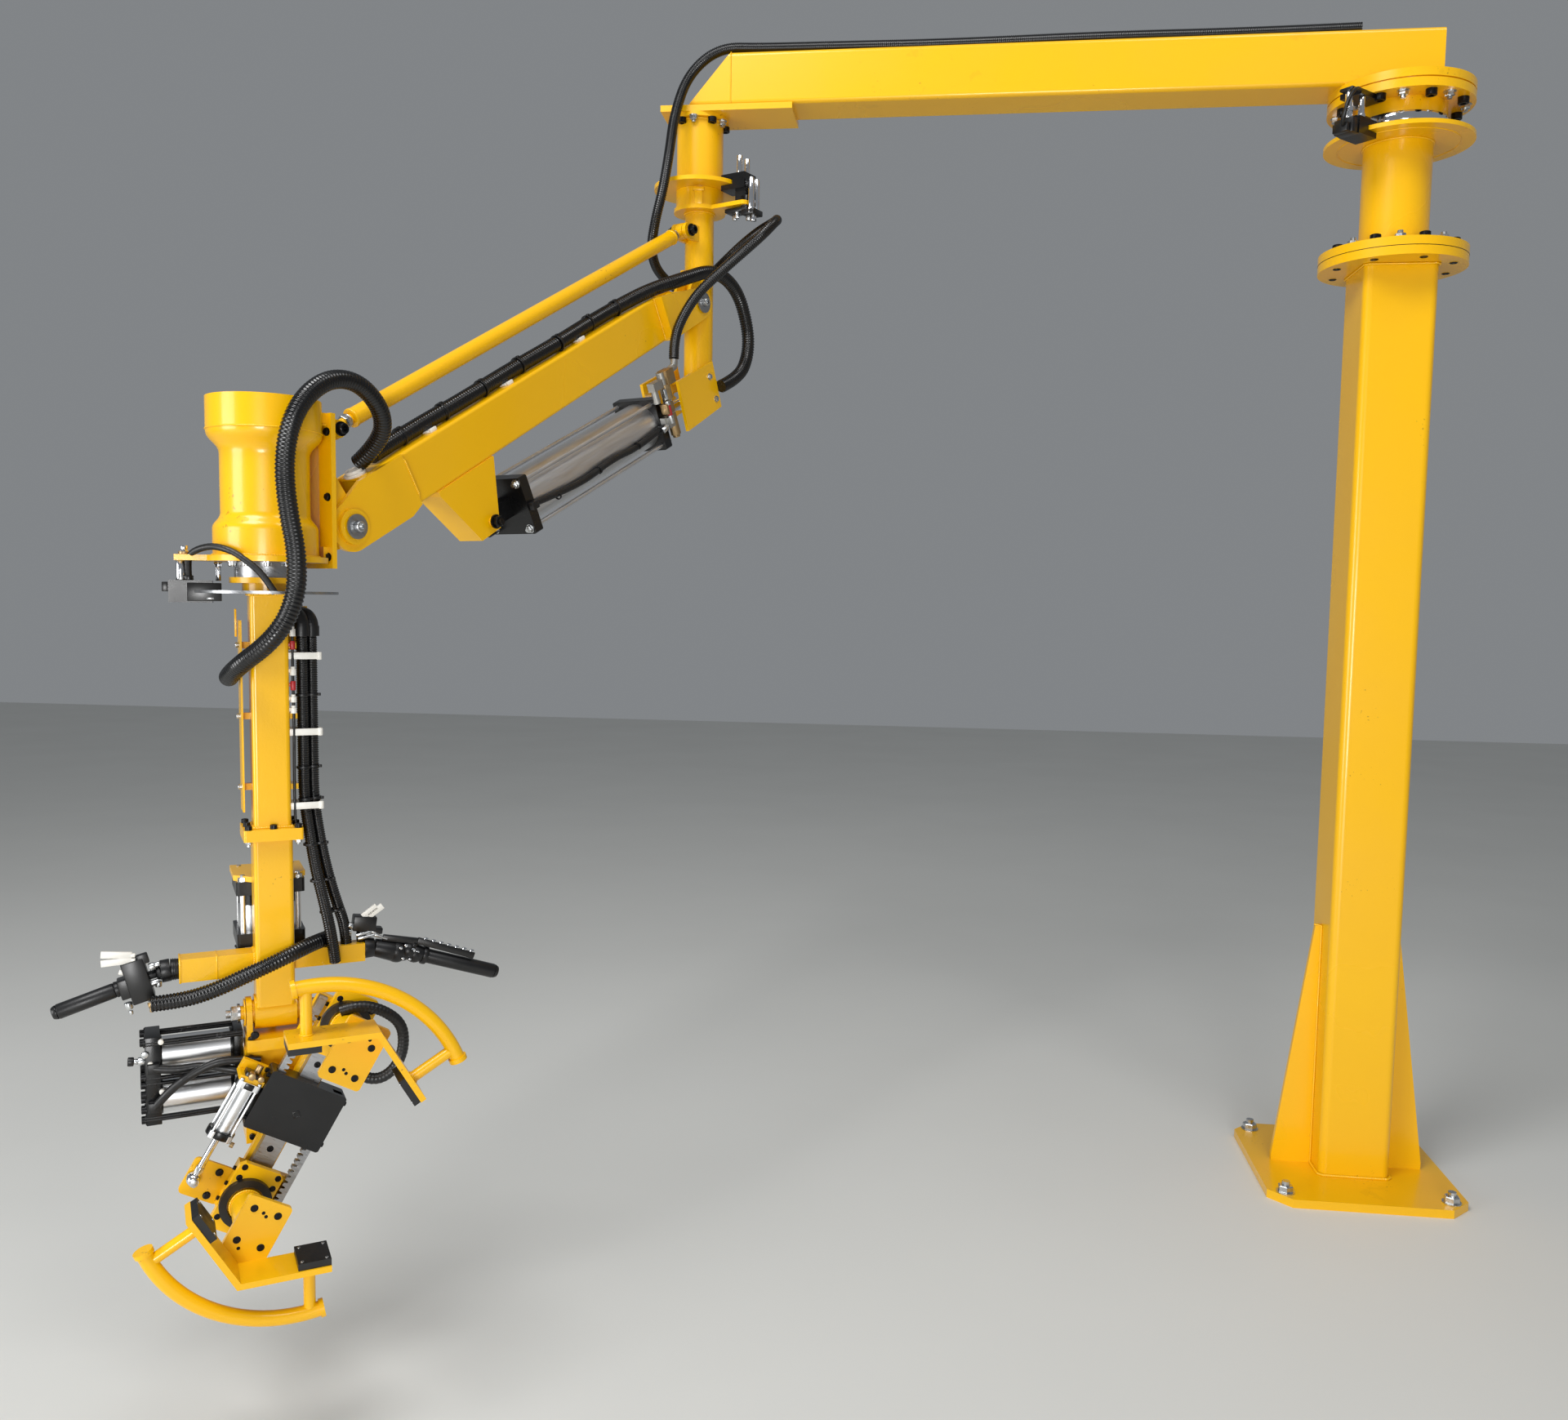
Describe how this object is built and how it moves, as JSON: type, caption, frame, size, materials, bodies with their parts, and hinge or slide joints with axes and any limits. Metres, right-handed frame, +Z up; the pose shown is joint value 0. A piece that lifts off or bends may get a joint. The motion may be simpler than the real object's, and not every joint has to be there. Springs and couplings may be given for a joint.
{
  "type": "industrial manipulator arm",
  "caption": "Floor-column manipulator arm with a slewing boom, a balanced parallel-link arm, a tool mast with handles, and a rolling rack-driven V-jaw gripper.",
  "frame": {"origin": "centre of the base plate's underside, on the column's axis", "axes": "+Z up along the column, -X along the boom from the column, +Y away from the side the arm is folded to"},
  "size_m": [3.3431, 2.1666, 3.3874],
  "materials": {
    "yellow_paint": "satin",
    "black_paint": "satin",
    "stainless": "brushed",
    "steel": "satin",
    "chrome": "polished",
    "aluminium": "satin",
    "black_plastic": "matte",
    "rubber": "matte"
  },
  "bodies": {
    "column": {"base_plate": "yellow_paint", "column": "yellow_paint", "post": "yellow_paint"},
    "boom": {"slew_1_bearing": "steel", "boom_flange": "yellow_paint", "boom_tube": "yellow_paint", "boom_drop": "yellow_paint", "slew_1_caliper": "black_paint", "boom_hose": "rubber"},
    "mast": {"mast_pipe": "yellow_paint", "mast_pivot": "yellow_paint", "mast_cylinder_bracket": "yellow_paint", "slew_2_caliper": "black_paint", "valve_hose": "rubber"},
    "arm": {"arm_beam": "yellow_paint", "arm_fork": "yellow_paint", "arm_cheeks": "yellow_paint", "arm_pins": "steel", "arm_cylinder_bracket": "yellow_paint", "arm_hose": "rubber"},
    "tie_rod": {"tie_rod": "yellow_paint"},
    "barrel": {"cylinder_barrel": "stainless", "cylinder_heads": "black_paint", "cylinder_valve": "aluminium", "cylinder_hose": "rubber"},
    "rod": {"cylinder_rod": "chrome"},
    "wrist": {"wrist_housing": "yellow_paint", "wrist_frame": "yellow_paint", "slew_3_caliper": "black_paint", "wrist_hose": "rubber"},
    "tool_mast": {"slew_3_disc": "steel", "tool_tube": "yellow_paint", "tool_lower_tube": "yellow_paint", "tool_trays": "yellow_paint", "tilt_cylinder": "black_paint", "handle_arms": "yellow_paint", "handle_controls": "black_plastic", "tool_hoses": "rubber"},
    "tilt_rod": {"tilt_rod": "chrome"},
    "tilt_head": {"tilt_head": "yellow_paint", "roll_actuator": "yellow_paint", "roll_cylinders": "stainless", "head_hoses": "rubber"},
    "gripper": {"gripper_bar": "yellow_paint", "gripper_rail": "steel", "gripper_block": "black_paint", "jaw_cylinder": "stainless"},
    "upper_jaw": {"upper_jaw_carriage": "yellow_paint", "upper_jaw_rack": "steel", "upper_jaw_frame": "yellow_paint", "upper_jaw_pads": "rubber", "upper_jaw_ring": "rubber"},
    "lower_jaw": {"lower_jaw_carriage": "yellow_paint", "lower_jaw_rack": "steel", "lower_jaw_frame": "yellow_paint", "lower_jaw_pads": "rubber", "jaw_rod": "chrome", "lower_jaw_ring": "rubber"}
  },
  "joints": [
    {"name": "slew_1", "type": "hinge", "parent": "column", "child": "boom", "pos_m": [0, 0, 3.1], "axis": [0, 0, 1], "range_deg": [-150, 150]},
    {"name": "slew_2", "type": "hinge", "parent": "boom", "child": "mast", "pos_m": [-2.04, 0, 2.9], "axis": [0, 0, 1], "range_deg": [-160, 80], "deforming": ["boom_hose"]},
    {"name": "arm_lift", "type": "hinge", "parent": "mast", "child": "arm", "pos_m": [-2.07043, -0.06525, 2.6163], "axis": [-0.9063, 0.4226, 0], "range_deg": [-9, 45], "deforming": ["valve_hose", "arm_hose"]},
    {"name": "tie_rod_swing", "type": "hinge", "parent": "mast", "child": "tie_rod", "pos_m": [-2.07677, -0.07885, 2.8313], "axis": [-0.9063, 0.4226, 0], "range_deg": [-9, 45]},
    {"name": "barrel_swing", "type": "hinge", "parent": "arm", "child": "barrel", "pos_m": [-2.43304, -0.84287, 1.91047], "axis": [-0.9063, 0.4226, 0], "range_deg": [-1, 2]},
    {"name": "rod_slide", "type": "slide", "parent": "barrel", "child": "rod", "axis": [0.3794, 0.8135, 0.4407], "range_m": [-0.05, 0.23]},
    {"name": "wrist_level", "type": "hinge", "parent": "arm", "child": "wrist", "pos_m": [-2.62108, -1.24613, 1.87311], "axis": [-0.9063, 0.4226, 0], "range_deg": [-45, 9]},
    {"name": "slew_3", "type": "hinge", "parent": "wrist", "child": "tool_mast", "pos_m": [-2.70011, -1.4156, 1.75], "axis": [0, 0, 1], "range_deg": [-150, 150], "deforming": ["wrist_hose"]},
    {"name": "tool_tilt", "type": "hinge", "parent": "tool_mast", "child": "tilt_head", "pos_m": [-2.70011, -1.4156, 0.81011], "axis": [-0.8339, -0.5519, 0], "range_deg": [0, 28]},
    {"name": "tilt_rod_slide", "type": "slide", "parent": "tool_mast", "child": "tilt_rod", "axis": [0, 0, -1], "range_m": [0, 0.056]},
    {"name": "gripper_roll", "type": "hinge", "parent": "tilt_head", "child": "gripper", "pos_m": [-2.63787, -1.46435, 0.62611], "axis": [-0.5519, 0.8339, 0], "range_deg": [-30, 60]},
    {"name": "lower_jaw_slide", "type": "slide", "parent": "gripper", "child": "lower_jaw", "axis": [0.4169, 0.276, 0.866], "range_m": [-0.02, 0.055]},
    {"name": "upper_jaw_slide", "type": "slide", "parent": "gripper", "child": "upper_jaw", "axis": [-0.4169, -0.276, -0.866], "range_m": [-0.02, 0.055]}
  ],
  "couplings": [
    {"joint": "tie_rod_swing", "follows": "arm_lift", "ratio": 1},
    {"joint": "barrel_swing", "follows": "arm_lift", "ratio": 0.036},
    {"joint": "rod_slide", "follows": "arm_lift", "m_per_rad": 0.269},
    {"joint": "wrist_level", "follows": "arm_lift", "ratio": -1},
    {"joint": "tilt_rod_slide", "follows": "tool_tilt", "m_per_rad": 0.1138},
    {"joint": "upper_jaw_slide", "follows": "lower_jaw_slide", "ratio": 1}
  ]
}
